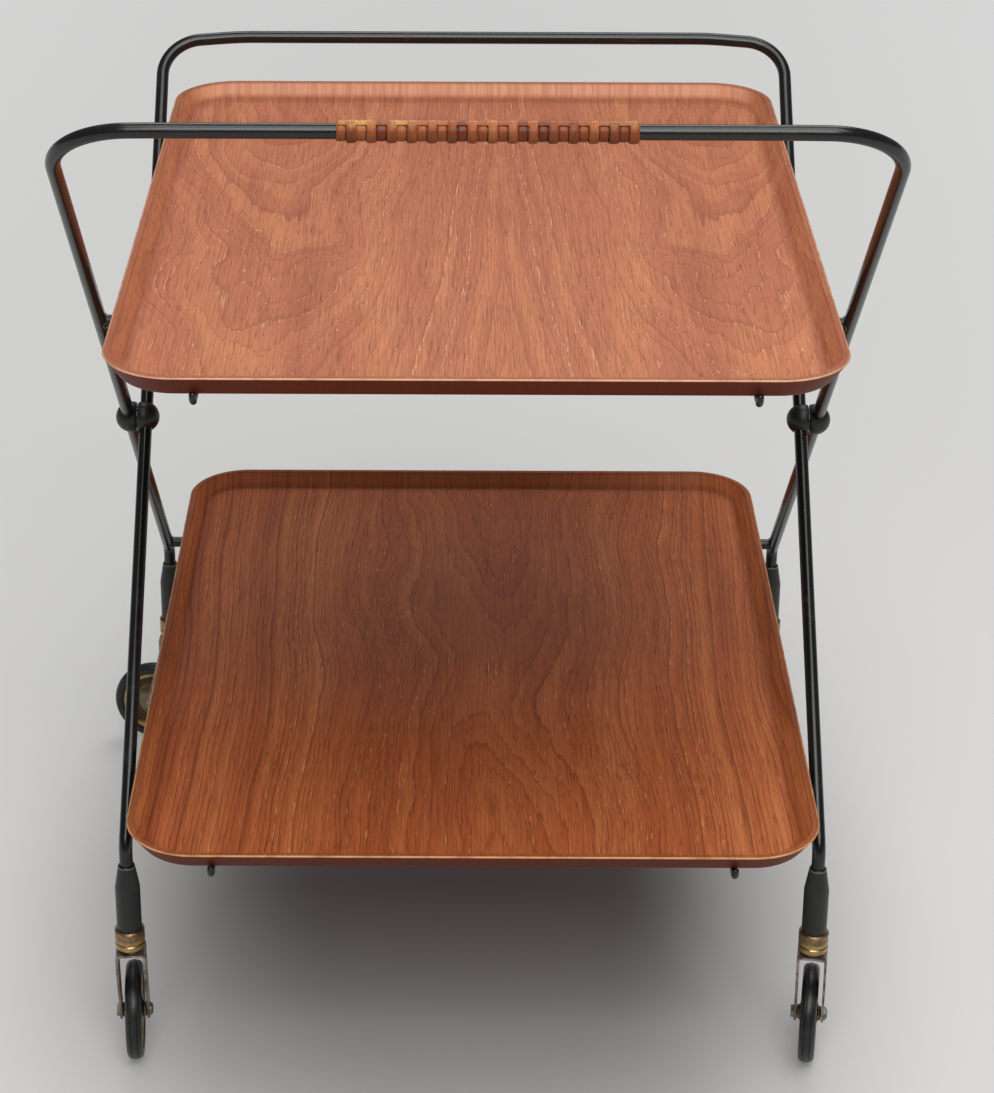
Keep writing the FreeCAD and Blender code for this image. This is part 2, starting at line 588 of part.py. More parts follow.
def wheel_hub():
    """Dished brass hub: conical boss, thin web and a rim that carries the tyre."""
    rim = TYRE_SEAT_RADIUS - RUNNING_FIT
    seat = TYRE_SEAT_WIDTH / 2
    hub = turned(mirrored_section([
        (AXLE_RADIUS + RUNNING_FIT, HUB_HALF_LENGTH), (HUB_BOSS_RADIUS, HUB_HALF_LENGTH),
        (HUB_CONE_RADIUS, HUB_CONE_HALF_WIDTH), (HUB_DISH_RADIUS, HUB_DISH_HALF_WIDTH),
        (rim - 2 * HUB_RIM_WALL, HUB_DISH_HALF_WIDTH), (rim - HUB_RIM_WALL, seat), (rim, seat),
    ]), X_AXIS)
    hub.translate(Vector(0, TRAIL, WHEEL_RADIUS))
    return hub


def wheel_tyre():
    """Solid rubber tyre with rounded shoulders and two grooves round its tread."""
    half = TYRE_WIDTH / 2
    wall = WHEEL_RADIUS - TYRE_SEAT_RADIUS
    groove = TREAD_GROOVE
    tread = WHEEL_RADIUS - 0.06 * wall
    tyre = turned(mirrored_section([
        (TYRE_SEAT_RADIUS, TYRE_SEAT_WIDTH / 2), (TYRE_SEAT_RADIUS + 0.12 * wall, 0.92 * half),
        (TYRE_SEAT_RADIUS + 0.42 * wall, half), (TYRE_SEAT_RADIUS + 0.7 * wall, 0.85 * half),
        (TYRE_SEAT_RADIUS + 0.88 * wall, 0.6 * half), (tread, TREAD_GROOVE_X + groove),
        (tread - groove, TREAD_GROOVE_X), (tread + 0.3 * groove, TREAD_GROOVE_X - groove), (WHEEL_RADIUS, TREAD_CREST_X),
    ]), X_AXIS)
    tyre.translate(Vector(0, TRAIL, WHEEL_RADIUS))
    return tyre


# ---- Assembly -----------------------------------------------------------------------


def build():
    """Every piece by name, in place."""
    hoop = bent_frame(HOOP)
    handle = bent_frame(HANDLE)
    hoop_upper_y = leaning_y(HOOP, UPPER_BAR)
    handle_upper_y = leaning_y(HANDLE, UPPER_BAR)
    hoop_lower_y = leaning_y(HOOP, LOWER_BAR)
    handle_lower_y = leaning_y(HANDLE, LOWER_BAR)

    parts = {
        "hoop_frame": hoop,
        "hoop_upper_crossbar": cross_bar(HOOP, hoop, hoop_upper_y, UPPER_BAR),
        "hoop_lower_crossbar": cross_bar(HOOP, hoop, hoop_lower_y, LOWER_BAR),
        "handle_frame": handle,
        "handle_upper_crossbar": cross_bar(HANDLE, handle, handle_upper_y, UPPER_BAR),
        "handle_lower_crossbar": cross_bar(HANDLE, handle, handle_lower_y, LOWER_BAR),
        "handle_wrap": grip_winding(),
        "pivot_nuts": pivot_nuts(),
        "pivot_washers": pivot_washers(),
        "upper_tray": tray(UPPER_TRAY_Y, UPPER_BAR + TRAY_RISE),
        "lower_tray": tray(LOWER_TRAY_Y, LOWER_BAR + TRAY_RISE),
    }
    for hand, name in ((-1, "left"), (1, "right")):
        parts["pivot_screw_" + name] = pivot_screw(hand)
        parts["inner_pivot_ball_" + name] = pivot_ball(HOOP, hand, True)
        parts["outer_pivot_ball_" + name] = pivot_ball(HANDLE, hand, False)
    for name, shape in tray_carrier(UPPER_TRAY_Y, hoop_upper_y, handle_upper_y, UPPER_BAR).items():
        parts["upper_" + name] = shape
    for name, shape in tray_carrier(LOWER_TRAY_Y, hoop_lower_y, handle_lower_y, LOWER_BAR).items():
        parts["lower_" + name] = shape

    on_leg = {"leg_sleeve": leg_sleeve(), "stem_collar": stem_collar()}
    on_swivel = {"caster_stem": caster_stem(), "caster_fork": caster_fork(), "axle_bolt": axle_bolt(),
                 "axle_nut": axle_nut(), "wheel_hub": wheel_hub(), "wheel_tyre": wheel_tyre()}
    for corner, turn in CASTER_TURN.items():
        frame = HOOP if corner.startswith("front") else HANDLE
        hand = -1 if corner.endswith("left") else 1
        foot = Vector(hand * frame["x"], leg_y(frame), 0)
        for name, shape in on_leg.items():
            parts[name + "_" + corner] = shape.translated(foot)
        for name, shape in on_swivel.items():
            swivelled = shape.copy()
            swivelled.rotate(Vector(0, 0, 0), Z_AXIS, turn)
            parts[name + "_" + corner] = swivelled.translated(foot)
    return parts


os.makedirs("parts", exist_ok=True)
PARTS = build()
for node, solid in PARTS.items():
    solid.exportStep("parts/" + node + ".step")
print(len(PARTS), "parts written")
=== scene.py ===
"""Looks of the folding serving trolley: lacquered bar frames, teak trays, wound grip and brass casters."""
import json
import math

import bmesh
import bpy
from mathutils import Matrix, Vector

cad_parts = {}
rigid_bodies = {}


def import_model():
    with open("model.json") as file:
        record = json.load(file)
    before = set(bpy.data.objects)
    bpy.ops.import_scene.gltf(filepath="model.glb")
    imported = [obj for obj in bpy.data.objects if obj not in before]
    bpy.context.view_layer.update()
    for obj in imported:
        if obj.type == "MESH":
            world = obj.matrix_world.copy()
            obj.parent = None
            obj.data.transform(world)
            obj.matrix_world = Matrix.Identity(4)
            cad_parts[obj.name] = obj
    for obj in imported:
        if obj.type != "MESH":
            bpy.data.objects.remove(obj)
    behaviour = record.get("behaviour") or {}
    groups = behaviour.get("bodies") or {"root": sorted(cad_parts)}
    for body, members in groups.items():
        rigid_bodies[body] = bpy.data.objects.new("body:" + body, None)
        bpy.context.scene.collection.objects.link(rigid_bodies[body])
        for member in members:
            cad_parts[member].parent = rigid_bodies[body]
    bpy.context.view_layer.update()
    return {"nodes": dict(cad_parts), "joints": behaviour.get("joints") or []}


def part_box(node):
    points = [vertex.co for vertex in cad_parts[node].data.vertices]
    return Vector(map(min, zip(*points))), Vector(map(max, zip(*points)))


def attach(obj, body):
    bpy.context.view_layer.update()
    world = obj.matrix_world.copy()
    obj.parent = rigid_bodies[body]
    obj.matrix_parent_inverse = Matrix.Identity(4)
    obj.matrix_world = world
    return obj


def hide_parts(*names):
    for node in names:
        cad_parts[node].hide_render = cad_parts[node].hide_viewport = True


for left_over in list(bpy.data.objects):
    bpy.data.objects.remove(left_over)

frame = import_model()
nodes = frame["nodes"]
joints = {joint["name"]: joint for joint in frame["joints"]}
CORNERS = ("front_left", "front_right", "rear_left", "rear_right")
MM = 0.001


def in_scene(name, data):
    """A new object of the data, linked to the scene."""
    thing = bpy.data.objects.new(name, data)
    bpy.context.scene.collection.objects.link(thing)
    return thing


# ---- Camera -------------------------------------------------------------------------

FRAME_HEIGHT_PX = 1093         # the camera's frame is 994 wide
FRAME_CENTRE_PX = 497          # across
OPTICAL_CENTRE_PX = 449.8      # across
FOCAL_PX = 2872.1
SENSOR_MM = 36
CAMERA_PLACE = Vector((-0.0122, -2.0415, 1.3528))
CAMERA_PITCH = 24.274          # degrees below the horizon
CAMERA_YAW = 0.166             # degrees
CAMERA_ROLL = 0.168            # degrees
SHIFT_RIGHT = (FRAME_CENTRE_PX - OPTICAL_CENTRE_PX) / FRAME_HEIGHT_PX
SHIFT_DOWN = 0.12              # in frame heights
CLIP = (0.05, 60)

camera = in_scene("camera", bpy.data.cameras.new("camera"))
camera.data.sensor_width = SENSOR_MM
camera.data.lens = FOCAL_PX * SENSOR_MM / FRAME_HEIGHT_PX
camera.data.shift_x = SHIFT_RIGHT
camera.data.shift_y = -SHIFT_DOWN
camera.data.clip_start, camera.data.clip_end = CLIP
aim = Matrix.Rotation(math.radians(CAMERA_YAW), 4, "Z")
aim = aim @ Matrix.Rotation(math.radians(90 - CAMERA_PITCH), 4, "X")
aim = aim @ Matrix.Rotation(math.radians(CAMERA_ROLL), 4, "Z")
camera.matrix_world = Matrix.Translation(CAMERA_PLACE) @ aim
bpy.context.scene.camera = camera

# ---- Material helper ----------------------------------------------------------------


class Finish:
    """A material while it is made. Its calls add nodes and give the last one's socket."""

    def __init__(self, name):
        self.material = bpy.data.materials.new(name)
        self.material.use_nodes = True
        self.tree = self.material.node_tree
        self.tree.nodes.clear()
        self.shader = self.tree.nodes.new("ShaderNodeBsdfPrincipled")
        output = self.tree.nodes.new("ShaderNodeOutputMaterial")
        self.tree.links.new(self.shader.outputs[0], output.inputs[0])
        coordinates = self.tree.nodes.new("ShaderNodeTexCoord")
        self.place = coordinates.outputs["Object"]

    def plug(self, socket, value):
        if isinstance(value, bpy.types.NodeSocket):
            self.tree.links.new(value, socket)
        else:
            socket.default_value = value

    def set(self, **values):
        """Sets the shader's sockets, named with _ for a space, and gives the material."""
        for name, value in values.items():
            if isinstance(value, tuple):
                value = (*value, 1)
            self.plug(self.shader.inputs[name.replace("_", " ")], value)
        return self.material

    def math(self, operation, a, b=0.0, c=0.0, clamp=False):
        node = self.tree.nodes.new("ShaderNodeMath")
        node.operation, node.use_clamp = operation, clamp
        for socket, value in zip(node.inputs, (a, b, c)):
            self.plug(socket, value)
        return node.outputs[0]

    def times(self, a, b):
        return self.math("MULTIPLY", a, b)

    def less(self, a, b):
        return self.math("SUBTRACT", a, b)

    def unsigned(self, value):
        return self.math("ABSOLUTE", value)

    def line(self, value, slope, start, clamp=False):
        """start plus slope times value."""
        return self.math("MULTIPLY_ADD", value, slope, start, clamp)

    def length(self, a, b):
        return self.math("SQRT", self.line(a, a, self.times(b, b)))

    def sway(self, noise, reach, value=0.0):
        """A value moved by noise, as far as reach either way."""
        return self.line(self.less(noise, 0.5), 2 * reach, value)

    def vector(self, operation, a, b=(0, 0, 0)):
        node = self.tree.nodes.new("ShaderNodeVectorMath")
        node.operation = operation
        self.plug(node.inputs[0], a)
        self.plug(node.inputs[1], b)
        return node.outputs["Value" if operation == "LENGTH" else "Vector"]

    def mapped(self, scale=(1, 1, 1), location=(0, 0, 0), vector=None):
        node = self.tree.nodes.new("ShaderNodeMapping")
        self.plug(node.inputs["Vector"], vector or self.place)
        node.inputs["Location"].default_value = location
        node.inputs["Scale"].default_value = scale
        return node.outputs[0]

    def split(self, vector=None):
        node = self.tree.nodes.new("ShaderNodeSeparateXYZ")
        self.plug(node.inputs[0], vector or self.place)
        return node.outputs[0], node.outputs[1], node.outputs[2]

    def joined(self, x, y):
        node = self.tree.nodes.new("ShaderNodeCombineXYZ")
        self.plug(node.inputs[0], x)
        self.plug(node.inputs[1], y)
        return node.outputs[0]

    def normal(self):
        node = self.tree.nodes.new("ShaderNodeNewGeometry")
        return self.split(node.outputs["Normal"])

    def noise(self, scale, vector=None, detail=3.0, roughness=0.55):
        """Noise from 0 to 1, with scale cells to the metre. A scale of three numbers stretches it."""
        stretched = scale if isinstance(scale, tuple) else (scale,) * 3
        node = self.tree.nodes.new("ShaderNodeTexNoise")
        self.plug(node.inputs["Vector"], self.mapped(stretched, vector=vector))
        node.inputs["Scale"].default_value = 1.0
        node.inputs["Detail"].default_value = detail
        node.inputs["Roughness"].default_value = roughness
        return node.outputs["Fac"]

    def own(self, number):
        """A random value for each whole number."""
        node = self.tree.nodes.new("ShaderNodeTexWhiteNoise")
        node.noise_dimensions = "1D"
        self.plug(node.inputs["W"], self.math("FLOOR", number))
        return node.outputs[0]

    def band(self, value, low, high, from_value=0.0, to_value=1.0):
        """A smooth step: from_value up to low, to_value from high on."""
        node = self.tree.nodes.new("ShaderNodeMapRange")
        node.interpolation_type = "SMOOTHSTEP"
        for socket, number in zip(node.inputs, (value, low, high, from_value, to_value)):
            self.plug(socket, number)
        return node.outputs[0]

    def ramp(self, value, *stops):
        node = self.tree.nodes.new("ShaderNodeValToRGB")
        self.plug(node.inputs[0], value)
        elements = node.color_ramp.elements
        while len(elements) < len(stops):
            elements.new(0.5)
        for element, (position, colour) in zip(elements, stops):
            element.position = position
            element.color = (*colour, 1)
        return node.outputs[0]

    def mix(self, amount, a, b):
        """Colour a where amount is 0, colour b where it is 1."""
        node = self.tree.nodes.new("ShaderNodeMix")
        node.data_type = "RGBA"
        self.plug(node.inputs["Factor"], amount)
        for socket, value in zip((node.inputs[6], node.inputs[7]), (a, b)):
            self.plug(socket, value if isinstance(value, bpy.types.NodeSocket) else (*value, 1))
        return node.outputs[2]

    def bump(self, height, distance, strength):
        node = self.tree.nodes.new("ShaderNodeBump")
        node.inputs["Strength"].default_value = strength
        node.inputs["Distance"].default_value = distance
        self.plug(node.inputs["Height"], height)
        self.plug(self.shader.inputs["Normal"], node.outputs[0])


# ---- Studio -------------------------------------------------------------------------

FLOOR_REACH = 14.0
GLOW_STRETCH = (1.5, 0.7)            # distances count for more to the sides than to front and back
NEAR_GLOW = (0.17, 0.62, 0.0, 0.24)  # two distances and the strengths there
FAR_GLOW = (0.9, 2.6, 0.0, 0.20)
WORLD_COLOUR, WORLD_STRENGTH = (0.97, 0.985, 1.0, 1), 0.17
# each softbox: its place, the point it faces, its size, watts and colour
SOFTBOXES = {
    "key_softbox": ((0.30, -0.95, 2.8), (0, 0, 0.4), (1.9, 2.0), 36, (1.0, 0.99, 0.975)),
    "front_softbox": ((0.15, -2.40, 2.5), (0, 0, 0.4), (2.0, 1.3), 36, (1.0, 0.99, 0.98)),
    "back_softbox": ((0.20, 1.75, 2.7), (0, 0, 0.3), (2.0, 1.4), 26, (1.0, 1.0, 1.0)),
}


def paper_floor():
    """Seamless pale paper. Away from the middle it glows a little, for camera, gloss and glass rays alone."""
    made = Finish("paper_floor")
    mottle = made.noise((1.1, 0.8, 1), detail=2)
    colour = made.mix(mottle, (0.53, 0.525, 0.52), (0.555, 0.55, 0.545))
    x, y, _ = made.split()
    away = made.length(made.times(x, GLOW_STRETCH[0]), made.times(y, GLOW_STRETCH[1]))
    rays = made.tree.nodes.new("ShaderNodeLightPath").outputs
    seen = made.math("MAXIMUM", rays["Is Camera Ray"], rays["Is Glossy Ray"])
    seen = made.math("MAXIMUM", seen, rays["Is Transmission Ray"])
    glow = made.times(seen, made.math("ADD", made.band(away, *NEAR_GLOW), made.band(away, *FAR_GLOW)))
    return made.set(Base_Color=colour, Roughness=0.9, Specular_IOR_Level=0.1,
                    Emission_Color=(1.0, 1.0, 1.0), Emission_Strength=glow)


def softbox(name, place, aim_at, size, watts, colour):
    light = bpy.data.lights.new(name, "AREA")
    light.shape, light.size, light.size_y = "RECTANGLE", *size
    light.energy, light.color = watts, colour
    towards = (Vector(aim_at) - Vector(place)).to_track_quat("-Z", "Y")
    lamp = in_scene(name, light)
    lamp.matrix_world = Matrix.Translation(Vector(place)) @ towards.to_matrix().to_4x4()


def studio():
    mesh = bpy.data.meshes.new("floor")
    sides = ((-1, -1), (1, -1), (1, 1), (-1, 1))
    mesh.from_pydata([(FLOOR_REACH * x, FLOOR_REACH * y, 0) for x, y in sides], [], [(0, 1, 2, 3)])
    floor = in_scene("floor", mesh)
    mesh.materials.append(paper_floor())

    world = bpy.data.worlds.new("studio")
    world.use_nodes = True
    background = world.node_tree.nodes["Background"]
    background.inputs["Color"].default_value = WORLD_COLOUR
    background.inputs["Strength"].default_value = WORLD_STRENGTH
    bpy.context.scene.world = world
    for name, settings in SOFTBOXES.items():
        softbox(name, *settings)


studio()

# ---- Finishes -----------------------------------------------------------------------

RING_HALF = 0.0008             # half the width of a sleeve's pale grey ring
RING_DOWN = 0.0012             # the ring's distance from the sleeve's top
DUSTY_UP_TO = 0.05             # height over the floor


def black_lacquer():
    """Stoved black lacquer: satin, slightly orange-peeled, rubbed grey in places, with a few chips."""
    black, rubbed_grey, chip = (0.0055, 0.0062, 0.0060), (0.017, 0.0175, 0.016), (0.20, 0.19, 0.17)
    made = Finish("black_lacquer")
    paler = made.band(made.noise((34, 34, 15), detail=5, roughness=0.7), 0.55, 0.72)
    chips = made.band(made.noise(150, detail=4, roughness=0.75), 0.70, 0.73)
    colour = made.mix(paler, black, rubbed_grey)
    colour = made.mix(made.times(chips, 0.6), colour, chip)
    made.bump(made.noise(260, detail=2), 0.00008, 0.45)
    return made.set(Base_Color=colour, Roughness=made.line(paler, 0.14, 0.22))


def black_moulding(name, pale_ring=None):
    """Moulded black plastic, dull and fine-grained. pale_ring is the height of a ring that is pale grey."""
    black, dull, paler = (0.0065, 0.007, 0.007), (0.0135, 0.0135, 0.0125), (0.24, 0.225, 0.20)
    made = Finish(name)
    cloud = made.noise(30, detail=3)
    colour = made.mix(cloud, black, dull)
    if pale_ring is not None:
        off = made.unsigned(made.less(made.split()[2], pale_ring))
        colour = made.mix(made.band(off, 0.0, RING_HALF, 0.85, 0.0), colour, paler)
    made.bump(made.noise(900, detail=2), 0.00005, 0.6)
    return made.set(Base_Color=colour, Roughness=made.line(cloud, 0.14, 0.34))


def tyre_rubber():
    """Black rubber, greyed with dust, most of all near the floor."""
    black, dust_grey = (0.0095, 0.0105, 0.0105), (0.062, 0.060, 0.053)
    made = Finish("tyre_rubber")
    dust = made.noise(85, detail=5, roughness=0.7)
    low = made.band(made.split()[2], 0.0, DUSTY_UP_TO, 0.7, 0.25)
    dusty = made.times(made.band(dust, 0.42, 0.72), low)
    made.bump(made.noise(700, detail=2), 0.00006, 0.6)
    return made.set(Base_Color=made.mix(dusty, black, dust_grey), Roughness=made.line(dusty, 0.3, 0.36))


def zinc_steel():
    """Small zinc-plated parts gone brown and dull."""
    zinc_grey, brown = (0.33, 0.29, 0.25), (0.11, 0.075, 0.055)
    made = Finish("zinc_steel")
    spots = made.noise(420, detail=4, roughness=0.7)
    colour = made.mix(made.band(spots, 0.40, 0.66), zinc_grey, brown)
    made.bump(spots, 0.00005, 0.4)
    return made.set(Base_Color=colour, Metallic=0.9, Roughness=made.line(spots, 0.3, 0.25))


def fork_steel():
    """Pressed fork: nickel worn to brown, brushed along its arms, with rust spots."""
    nickel, worn, rust = (0.42, 0.36, 0.32), (0.155, 0.105, 0.080), (0.070, 0.028, 0.016)
    made = Finish("fork_steel")
    darkening = made.noise((80, 80, 40), detail=5, roughness=0.72)
    colour = made.mix(made.band(darkening, 0.36, 0.66), nickel, worn)
    rusty = made.band(made.noise(240, detail=5, roughness=0.8), 0.60, 0.72)
    colour = made.mix(made.times(rusty, 0.75), colour, rust)
    made.bump(made.noise((900, 900, 60), detail=3), 0.00006, 0.5)
    return made.set(Base_Color=colour, Metallic=0.85, Roughness=made.line(darkening, 0.42, 0.16))


def collar_brass(name, low, high):
    """Turned brass collar between two heights: dull gold below its groove, grey-brown with age above it."""
    gold, grey_brown = (0.50, 0.335, 0.135), (0.170, 0.115, 0.074)
    made = Finish(name)
    cloud = made.noise((110, 110, 150), detail=5, roughness=0.68)
    tall = high - low
    above = made.band(made.split()[2], low + 0.45 * tall, low + 0.62 * tall)
    aged = made.line(above, 0.5, made.band(cloud, 0.40, 0.74, 0.0, 0.7), clamp=True)
    made.bump(made.noise((20, 20, 2600), detail=2), 0.00005, 0.5)
    return made.set(Base_Color=made.mix(aged, gold, grey_brown), Metallic=0.95,
                    Roughness=made.line(aged, 0.22, 0.26))


# radii over which the hub's zones fade in or out, outwards
BOSS_END = (0.0046, 0.0064)
WEB_END = (0.0195, 0.0235)
GRIME_START = (0.0165, 0.0195)
GRIME_END = (0.0238, 0.0256)


def hub_brass(name, centre, axis):
    """Dished brass wheel: gold rim, a dark ring where grime lies, an olive web and a worn boss."""
    gold, olive, brown = (0.47, 0.335, 0.125), (0.215, 0.180, 0.098), (0.120, 0.085, 0.045)
    grime, worn = (0.045, 0.026, 0.014), (0.40, 0.29, 0.15)
    made = Finish(name)
    from_centre = made.vector("SUBTRACT", made.place, centre)
    radius = made.vector("LENGTH", made.vector("CROSS_PRODUCT", from_centre, axis))
    cloud = made.noise(150, detail=5, roughness=0.72)
    colour = made.mix(made.band(radius, *WEB_END, 1.0, 0.0), gold, olive)
    colour = made.mix(made.band(cloud, 0.42, 0.72, 0.0, 0.7), colour, brown)
    grimy = made.times(made.band(radius, *GRIME_START), made.band(radius, *GRIME_END, 1.0, 0.0))
    colour = made.mix(made.times(grimy, 0.85), colour, grime)
    colour = made.mix(made.band(radius, *BOSS_END, 0.6, 0.0), colour, worn)
    made.bump(cloud, 0.0001, 0.5)
    return made.set(Base_Color=colour, Metallic=0.9, Roughness=made.line(cloud, 0.3, 0.2))


CANE_BROWNS = ((0.2, (0.17, 0.030, 0.008)), (0.45, (0.33, 0.074, 0.018)), (0.7, (0.48, 0.130, 0.034)),
               (0.9, (0.62, 0.230, 0.070)))
CANE_FRONT = (0.003, 0.0066)   # distances before the bar's axis over which painted shade darkens the cane
CANE_TOP = (0.0058, 0.0084)    # heights over the axis over which the cane turns pale with wear and a painted highlight
HELD_TURNS = (7, 12)           # the pale top is palest up to the first of these turns, least from the second


def cane(name, axis, pitch, start_x):
    """Split cane, varnished: fibres round the bar, each turn its own brown, painted shade on its front, and
    pale on top with wear and a painted highlight.
    """
    shade, yellow, gap = (0.13, 0.024, 0.006), (0.76, 0.41, 0.12), (0.07, 0.015, 0.005)
    made = Finish(name)
    x, y, z = made.split()
    of_turn = made.own(made.math("DIVIDE", made.less(x, start_x), pitch))
    fibres = made.noise((2600, 160, 160), detail=3)
    cloud = made.noise((120, 60, 60), detail=4, roughness=0.65)
    colour = made.ramp(made.line(of_turn, 0.5, made.times(cloud, 0.5)), *CANE_BROWNS)
    # painted shade: the cane is darker on its side towards the front
    front = made.band(made.less(axis.y, y), *CANE_FRONT)
    colour = made.mix(made.times(front, 0.30), colour, shade)
    # wear and a painted highlight: the cane is paler on top, most on the first turns and in patches
    height = made.line(cloud, 0.004, made.less(z, axis.z))
    held = made.band(x, start_x + HELD_TURNS[0] * pitch, start_x + HELD_TURNS[1] * pitch, 1.0, 0.35)
    patches = made.band(made.noise((38, 5, 5), detail=2), 0.46, 0.66, 0.12, 0.75)
    paler = made.times(made.times(made.band(height, *CANE_TOP), held), patches)
    colour = made.mix(paler, colour, yellow)
    colour = made.mix(made.band(fibres, 0.35, 0.6, 0.45, 0.0), colour, gap)
    made.bump(fibres, 0.00012, 0.8)
    return made.set(Base_Color=colour, Roughness=made.line(cloud, 0.25, 0.24), Specular_IOR_Level=0.3)


# ---- Teak ---------------------------------------------------------------------------

TRAY_CORNER = 0.050            # plan radius of a tray's rim
WALL_FOOT = 0.0345             # plan radius of the wall's foot at a corner
CREASE_SHADE_HALF = 0.0060           # half the width of the painted shade in the crease along the wall's foot
WALL_FADE = (0.002, 0.006)     # distances past the foot over which the wall's colour comes in
RIM_FADE = (0.0014, 0.0006)    # distances below the rim's top over which the rim's colour comes in
PLY_FADE = (0.0014, 0.0008)    # distances in from the rim's outer edge over which the pale ply comes in
# a darker middle: the centre and the half widths of the darkened ellipse
MIDDLE_DARK_CENTRE, MIDDLE_DARK_HALF = (0.005, 0.035), (0.120, 0.270)
OPEN_PORE, MIDDLE_DARK, MARK = (0.060, 0.018, 0.009), (0.135, 0.030, 0.010), (0.05, 0.020, 0.010)
# painted sheen for the wall that faces the front, and painted shade for every face that looks downwards
WALL_SHEEN_COLOUR, SHADED_UNDERSIDE = (0.84, 0.405, 0.245), (0.145, 0.018, 0.004)

# A tray's figure. Places and lengths are metres, from the middle of the tray:
#   mirror, apart   the x about which the veneers are matched, and the pith's distance from it
#   heart_y, turn   the y where the arches turn over, and how softly they do
#   depth, taper    how deep the pith lies there, and how much nearer it comes with each metre from there
#   count           growth rings to the metre
#   calm            two distances from the mirror line, and how lively the grain is there
#   sway, drift     how far broad waves carry the rings across and along the grain
#   comb            how far the fibres carry them along the grain
#   dark to light   colours of the broad streaks; line is late wood, fleck is a pale pore
#   flecks, late, heart, darkening, wall_sheen   the strength of pale pores, late wood, the darker heart,
#                   the darkening towards the middle and the painted sheen on the wall that faces the front
UPPER_FIGURE = {
    "mirror": 0.020, "apart": 0.170, "heart_y": -0.70, "turn": 0.01, "depth": 0.158, "taper": 0.115,
    "count": 240.0, "calm": (0.05, 0.13, 0.12, 1.0), "sway": 0.050, "drift": 0.170, "comb": 0.6,
    "dark": (0.395, 0.118, 0.056), "base": (0.515, 0.172, 0.083), "light": (0.640, 0.250, 0.108),
    "line": (0.200, 0.048, 0.022), "fleck": (0.82, 0.46, 0.27),
    "flecks": 0.60, "late": 0.46, "heart": 0.0, "darkening": 0.0, "wall_sheen": 0.92, "roughness": 0.42,
}
LOWER_FIGURE = {
    "mirror": 0.018, "apart": 0.0, "heart_y": -0.030, "turn": 0.045, "depth": 0.070, "taper": 0.120,
    "count": 240.0, "calm": (0.08, 0.18, 1.0, 0.25), "sway": 0.044, "drift": 0.170, "comb": 1.1,
    "dark": (0.400, 0.088, 0.025), "base": (0.560, 0.148, 0.044), "light": (0.700, 0.235, 0.074),
    "line": (0.140, 0.028, 0.010), "fleck": (0.86, 0.46, 0.190),
    "flecks": 0.60, "late": 0.85, "heart": 0.35, "darkening": 0.26, "wall_sheen": 0.10, "roughness": 0.40,
}


def growth_rings(made, figure, local, from_mirror, y):
    """Distance across from the pith, distance to it, and the count of growth rings, at each point.

    The rings are cones about a pith that lies under the veneer: they show as arches over it and as fine
    straight grain beside it. Hair-fine fibres carry them along the grain by different amounts.
    """
    leaf = made.joined(from_mirror, y)
    hair = made.noise((900, 14, 1), local, detail=2, roughness=0.6)
    tuft = made.noise((190, 5, 1), leaf, detail=2)
    combed = made.sway(tuft, 0.026 * figure["comb"], made.sway(hair, 0.018 * figure["comb"], y))
    lively = made.band(made.unsigned(from_mirror), *figure["calm"])

    wander = made.noise((7, 4.2, 1), leaf, detail=1.5, roughness=0.45)
    ripple = made.noise((42, 9, 1), leaf, detail=2)
    swayed = made.times(made.sway(wander, figure["sway"]), lively)
    side = made.sway(ripple, 0.0012, made.math("ADD", from_mirror, swayed))
    across = made.less(side, figure["apart"])

    drift = made.noise((13, 6.5, 1), leaf, detail=1.5, roughness=0.45)
    drifted = made.times(made.sway(drift, figure["drift"]), lively)
    along = made.less(made.math("ADD", combed, drifted), figure["heart_y"])
    depth = made.line(made.length(along, figure["turn"]), -figure["taper"], figure["depth"])
    reach = made.length(across, depth)
    uneven = made.noise((75, 1, 1), made.joined(reach, 0.0), detail=2)
    return across, reach, made.times(made.sway(uneven, 0.006, reach), figure["count"])


def with_pores(made, figure, colour, local, seam, group):
    """Pores: pale dashes, thick where a ring starts, and dark ones in between. Also gives the relief."""
    dashes = made.noise((640, 50, 1), local, detail=2, roughness=0.65)
    crowd = made.line(seam, 1.0, made.band(group, 0.52, 0.72, 0.0, 0.45))
    pale = made.band(made.less(dashes, made.line(crowd, -0.21, 0.70)), 0.0, 0.08)
    colour = made.mix(made.times(pale, figure["flecks"]), colour, figure["fleck"])
    fibres = made.noise((800, 15, 1), local, detail=4, roughness=0.75)
    colour = made.mix(made.band(fibres, 0.34, 0.56, 0.48, 0.0), colour, figure["line"])
    colour = made.mix(made.band(fibres, 0.58, 0.76, 0.0, 0.20), colour, figure["fleck"])
    open_pores = made.band(made.noise((900, 46, 1), local, detail=1), 0.62, 0.72)
    colour = made.mix(made.times(open_pores, 0.45), colour, OPEN_PORE)
    return colour, made.line(open_pores, -1.2, fibres)


def with_dark_middle_and_marks(made, figure, colour, local, x, y):
    """Darker towards the middle of the tray, with small marks."""
    stain_x = made.math("DIVIDE", made.less(x, MIDDLE_DARK_CENTRE[0]), MIDDLE_DARK_HALF[0])
    stain_y = made.math("DIVIDE", made.less(y, MIDDLE_DARK_CENTRE[1]), MIDDLE_DARK_HALF[1])
    from_middle = made.line(stain_x, stain_x, made.times(stain_y, stain_y))
    from_middle = made.line(made.noise((11, 6, 1), local, detail=5, roughness=0.66), 2.4, from_middle)
    colour = made.mix(made.band(from_middle, 1.0, 2.7, figure["darkening"], 0.0), colour, MIDDLE_DARK)
    marks = made.band(made.noise((34, 20, 1), local, detail=6, roughness=0.75), 0.60, 0.68)
    return made.mix(made.times(marks, 0.28), colour, MARK)


